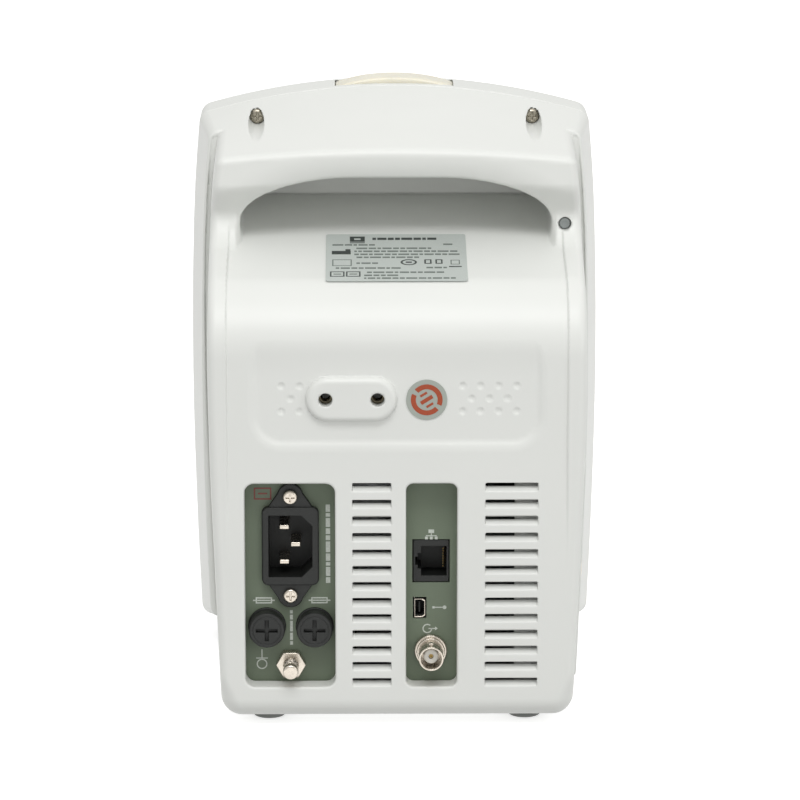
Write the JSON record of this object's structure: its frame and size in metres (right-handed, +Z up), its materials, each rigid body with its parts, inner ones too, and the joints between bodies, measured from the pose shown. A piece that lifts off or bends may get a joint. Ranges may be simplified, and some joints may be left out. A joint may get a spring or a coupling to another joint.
{
  "type": "patient monitor",
  "caption": "Portable bedside vital-signs monitor with arched carrying handle, rear connector panel, screen, keys and turning knob.",
  "frame": {"origin": "on the table under the middle of the object, at the bottom centre of its box", "axes": "+Z up, screen facing -Y, connector panel facing +Y, +X on the right of someone reading the screen"},
  "size_m": [0.166, 0.166, 0.2372],
  "materials": {
    "casing_white": "fine spark texture, satin",
    "screen_gloss": "polished window, screen off",
    "lcd_black": "display module, off",
    "lamp_cream": "translucent diffuser",
    "circuit_green": "solder mask",
    "key_rubber": "matt silicone",
    "grey_plastic": "satin",
    "steel": "turned",
    "aluminium": "rolled sheet",
    "black_plastic": "moulded, semi-matt",
    "plate_green": "grey-green printed plate",
    "fuse_glass": "clear tube",
    "nickel": "nickel plate, slightly warm",
    "insulator_white": "smooth",
    "brass": "turned",
    "foot_rubber": "matt",
    "label_silver": "printed foil",
    "sticker_grey": "printed vinyl",
    "sensor_blue": "moulded"
  },
  "bodies": {
    "casing": {"rear_housing": "casing_white", "front_housing": "casing_white", "sensor_plate": "casing_white", "screen_window": "screen_gloss", "lcd_module": "lcd_black", "alarm_lens": "lamp_cream", "status_light": "lamp_cream", "keypad_board": "circuit_green", "main_board": "circuit_green", "power_board": "circuit_green", "handle_plug": "grey_plastic", "battery_pack": "grey_plastic", "encoder_body": "aluminium", "chassis_plate": "aluminium", "valve_block": "aluminium", "speaker": "black_plastic", "mains_plate": "plate_green", "data_plate": "plate_green", "mains_inlet": "black_plastic", "fuse_holder_right": "black_plastic", "fuse_holder_left": "black_plastic", "ethernet_jack": "black_plastic", "temp_socket": "black_plastic", "air_pump": "black_plastic", "inlet_pin_line": "nickel", "inlet_pin_neutral": "nickel", "inlet_pin_earth": "nickel", "inlet_screw_top": "nickel", "inlet_screw_bottom": "nickel", "earth_stud": "nickel", "earth_nut": "nickel", "usb_jack": "nickel", "bnc_shell": "nickel", "casing_screw_left": "nickel", "casing_screw_right": "nickel", "nibp_port": "nickel", "bnc_insulator": "insulator_white", "bnc_contact": "brass", "bracket_insert_left": "brass", "bracket_insert_right": "brass", "foot_front_left": "foot_rubber", "foot_front_right": "foot_rubber", "foot_rear_left": "foot_rubber", "foot_rear_right": "foot_rubber", "rating_label": "label_silver", "round_sticker": "sticker_grey", "spo2_socket": "sensor_blue"},
    "key_1": {"key_1": "key_rubber"},
    "key_2": {"key_2": "key_rubber"},
    "key_3": {"key_3": "key_rubber"},
    "key_4": {"key_4": "key_rubber"},
    "key_5": {"key_5": "key_rubber"},
    "power_key": {"power_key": "key_rubber"},
    "encoder_plunger": {"encoder_plunger": "steel"},
    "encoder_knob": {"encoder_knob": "grey_plastic", "encoder_shaft": "steel"},
    "fuse_link_right": {"fuse_link_right": "fuse_glass"},
    "fuse_cap_right": {"fuse_cap_right": "black_plastic"},
    "fuse_link_left": {"fuse_link_left": "fuse_glass"},
    "fuse_cap_left": {"fuse_cap_left": "black_plastic"}
  },
  "joints": [
    {"name": "key_1_press", "type": "slide", "parent": "casing", "child": "key_1", "axis": [0, 1, 0], "range_m": [0, 0.0008], "stiffness_N_per_m": 1500, "springref_m": -0.0004},
    {"name": "key_2_press", "type": "slide", "parent": "casing", "child": "key_2", "axis": [0, 1, 0], "range_m": [0, 0.0008], "stiffness_N_per_m": 1500, "springref_m": -0.0004},
    {"name": "key_3_press", "type": "slide", "parent": "casing", "child": "key_3", "axis": [0, 1, 0], "range_m": [0, 0.0008], "stiffness_N_per_m": 1500, "springref_m": -0.0004},
    {"name": "key_4_press", "type": "slide", "parent": "casing", "child": "key_4", "axis": [0, 1, 0], "range_m": [0, 0.0008], "stiffness_N_per_m": 1500, "springref_m": -0.0004},
    {"name": "key_5_press", "type": "slide", "parent": "casing", "child": "key_5", "axis": [0, 1, 0], "range_m": [0, 0.0008], "stiffness_N_per_m": 1500, "springref_m": -0.0004},
    {"name": "power_key_press", "type": "slide", "parent": "casing", "child": "power_key", "axis": [0, 1, 0], "range_m": [0, 0.0008], "stiffness_N_per_m": 1500, "springref_m": -0.0004},
    {"name": "encoder_press", "type": "slide", "parent": "casing", "child": "encoder_plunger", "axis": [0, 1, 0], "range_m": [0, 0.0008], "stiffness_N_per_m": 3000, "springref_m": -0.0004},
    {"name": "encoder_turn", "type": "hinge", "parent": "encoder_plunger", "child": "encoder_knob", "pos_m": [0.044, -0.07, 0.056], "axis": [0, -1, 0], "continuous": true},
    {"name": "fuse_pull_right", "type": "slide", "parent": "casing", "child": "fuse_link_right", "axis": [0, 1, 0], "range_m": [0, 0.035]},
    {"name": "fuse_turn_right", "type": "hinge", "parent": "fuse_link_right", "child": "fuse_cap_right", "pos_m": [0.0508, 0.07, 0.0394], "axis": [0, 1, 0], "range_deg": [0, 90]},
    {"name": "fuse_pull_left", "type": "slide", "parent": "casing", "child": "fuse_link_left", "axis": [0, 1, 0], "range_m": [0, 0.035]},
    {"name": "fuse_turn_left", "type": "hinge", "parent": "fuse_link_left", "child": "fuse_cap_left", "pos_m": [0.0322, 0.07, 0.0394], "axis": [0, 1, 0], "range_deg": [0, 90]}
  ]
}
